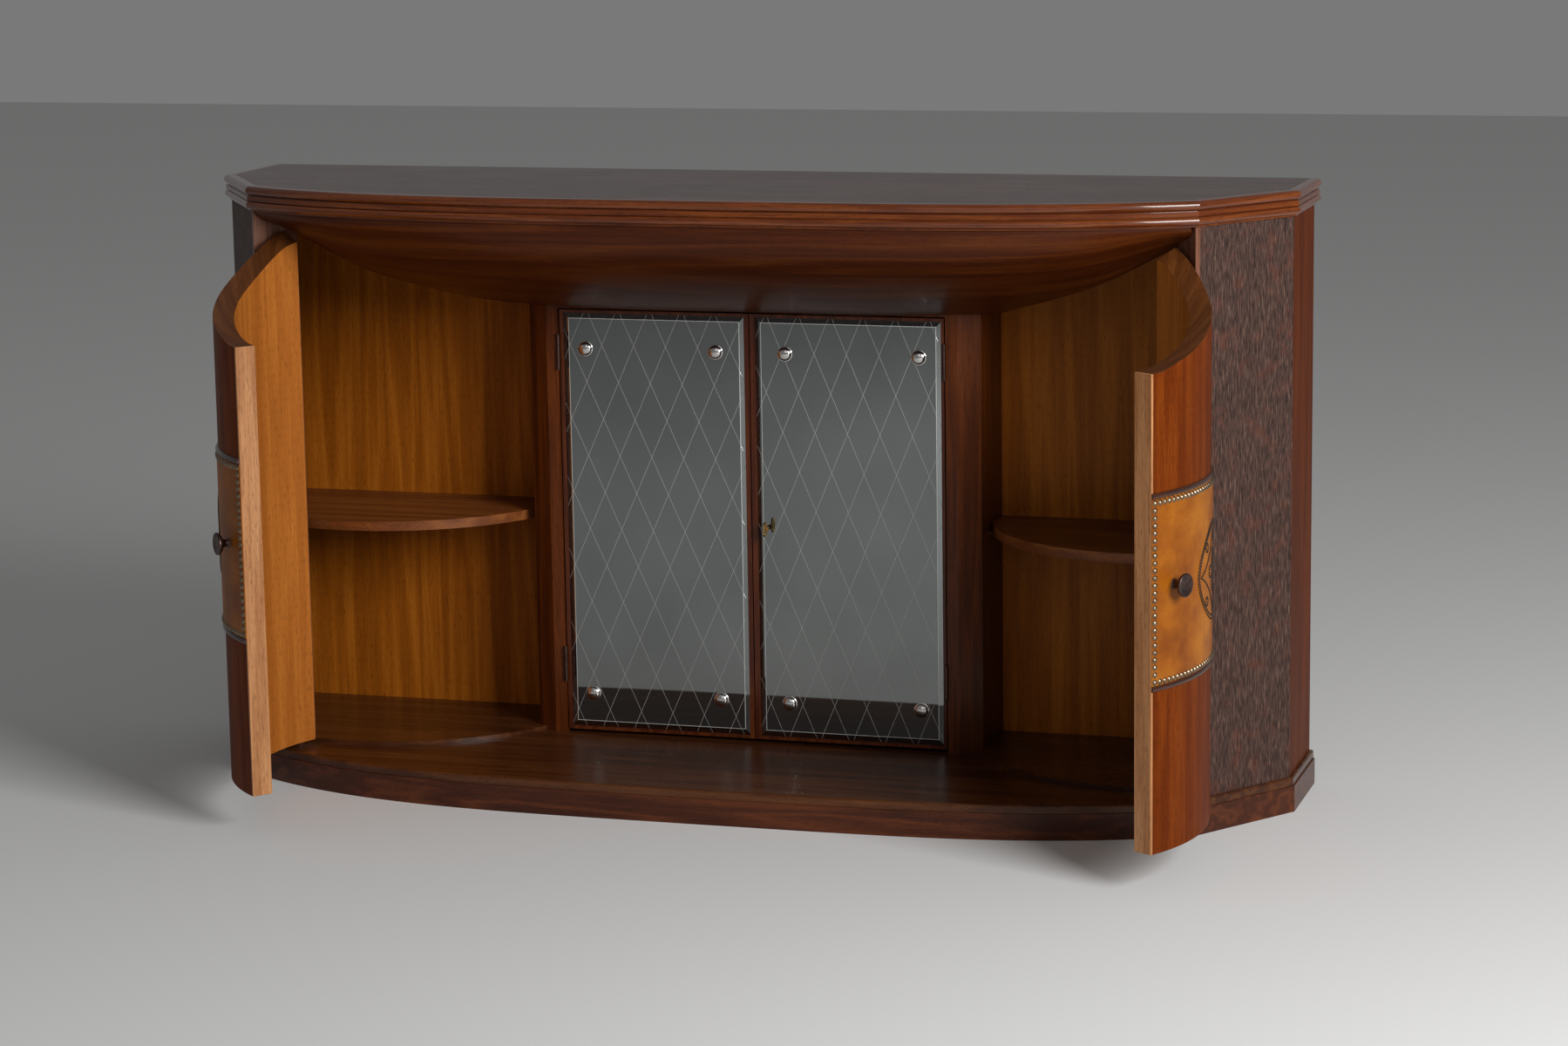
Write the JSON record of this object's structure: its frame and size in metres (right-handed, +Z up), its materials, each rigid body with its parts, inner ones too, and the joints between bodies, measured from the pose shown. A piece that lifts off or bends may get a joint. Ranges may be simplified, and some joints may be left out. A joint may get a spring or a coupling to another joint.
{
  "type": "bar console",
  "caption": "Bow-fronted bar cabinet with curved side doors in leather and nails, a hull-shaped valance, and a recess backed by mirror doors with a lock and key.",
  "frame": {"origin": "on the floor on the centre line, halfway between the back and the front of the bow", "axes": "+X to the right along the front, +Y to the back, +Z up"},
  "size_m": [1.62, 0.662, 0.882],
  "materials": {
    "dark_polished_wood": "stained beech, polished, semi-gloss",
    "mahogany_veneer": "mahogany veneer, polished, semi-gloss",
    "red_mahogany": "solid mahogany, polished, gloss",
    "dark_mahogany": "dark stained mahogany, polished",
    "golden_walnut": "golden walnut veneer, satin",
    "light_edging": "light mahogany edging, polished",
    "tan_leather": "mustard tan hide, waxed",
    "antique_nails": "antique bronzed upholstery nails",
    "dark_bronze": "patinated bronze",
    "bevelled_mirror": "silvered float glass, bevelled",
    "polished_chrome": "polished chromium plate",
    "lock_steel": "plain steel",
    "brass": "aged polished brass"
  },
  "bodies": {
    "carcass": {"apron_hull": "red_mahogany", "back_panel": "golden_walnut", "base_board": "dark_polished_wood", "frame_hinge_leaves": "dark_bronze", "front_moulding": "red_mahogany", "header_rail": "dark_mahogany", "hinge_pins": "dark_bronze", "left_corner_post": "mahogany_veneer", "left_diagonal_moulding": "red_mahogany", "left_diagonal_panel": "mahogany_veneer", "left_floor_panel": "dark_polished_wood", "left_partition": "dark_mahogany", "left_pilaster": "dark_mahogany", "left_shelf": "golden_walnut", "left_side_moulding": "red_mahogany", "left_side_panel": "mahogany_veneer", "plinth_back_rail": "dark_polished_wood", "plinth_centre_rail": "dark_polished_wood", "plinth_corner_blocks": "dark_polished_wood", "plinth_front_rail": "dark_polished_wood", "plinth_left_diagonal_rail": "dark_polished_wood", "plinth_left_side_rail": "dark_polished_wood", "plinth_right_diagonal_rail": "dark_polished_wood", "plinth_right_side_rail": "dark_polished_wood", "right_corner_post": "mahogany_veneer", "right_diagonal_moulding": "red_mahogany", "right_diagonal_panel": "mahogany_veneer", "right_floor_panel": "dark_polished_wood", "right_partition": "dark_mahogany", "right_pilaster": "dark_mahogany", "right_shelf": "golden_walnut", "right_side_moulding": "red_mahogany", "right_side_panel": "mahogany_veneer", "shelf_pins": "brass", "top_board": "red_mahogany"},
    "left_door": {"left_door_beads": "dark_mahogany", "left_door_edge_strip": "light_edging", "left_door_hinge_leaves": "dark_bronze", "left_door_knob": "dark_bronze", "left_door_leather": "tan_leather", "left_door_nails": "antique_nails", "left_door_panel": "mahogany_veneer"},
    "right_door": {"right_door_beads": "dark_mahogany", "right_door_edge_strip": "light_edging", "right_door_hinge_leaves": "dark_bronze", "right_door_knob": "dark_bronze", "right_door_leather": "tan_leather", "right_door_nails": "antique_nails", "right_door_panel": "mahogany_veneer"},
    "left_mirror_door": {"left_mirror_caps": "polished_chrome", "left_mirror_door_board": "dark_mahogany", "left_mirror_glass": "bevelled_mirror", "left_mirror_hinge_leaves": "dark_bronze"},
    "right_mirror_door": {"right_mirror_caps": "polished_chrome", "right_mirror_door_board": "dark_mahogany", "right_mirror_glass": "bevelled_mirror", "right_mirror_hinge_leaves": "dark_bronze", "lock_case": "lock_steel"},
    "lock_bolt": {"lock_bolt": "lock_steel"},
    "key": {"key": "brass"}
  },
  "joints": [
    {"name": "left_door_hinge", "type": "hinge", "parent": "carcass", "child": "left_door", "pos_m": [-0.66239, -0.07925, 0.2], "axis": [0, 0, -1], "range_deg": [-102.1, 21.9]},
    {"name": "right_door_hinge", "type": "hinge", "parent": "carcass", "child": "right_door", "pos_m": [0.66239, -0.07925, 0.2], "axis": [0, 0, 1], "range_deg": [-121.7, 2.3]},
    {"name": "left_mirror_hinge", "type": "hinge", "parent": "carcass", "child": "left_mirror_door", "pos_m": [-0.29385, 0.0682, 0.15], "axis": [0, 0, -1], "range_deg": [0, 88]},
    {"name": "right_mirror_hinge", "type": "hinge", "parent": "carcass", "child": "right_mirror_door", "pos_m": [0.29385, 0.0682, 0.15], "axis": [0, 0, 1], "range_deg": [0, 88]},
    {"name": "key_turn", "type": "hinge", "parent": "right_mirror_door", "child": "key", "pos_m": [0.025, 0.075, 0.373], "axis": [0, 1, 0], "range_deg": [0, 90]},
    {"name": "bolt_slide", "type": "slide", "parent": "right_mirror_door", "child": "lock_bolt", "axis": [-1, 0, 0], "range_m": [0, 0.008]}
  ],
  "couplings": [
    {"joint": "key_turn", "follows": "bolt_slide", "rad_per_m": 196.3}
  ]
}
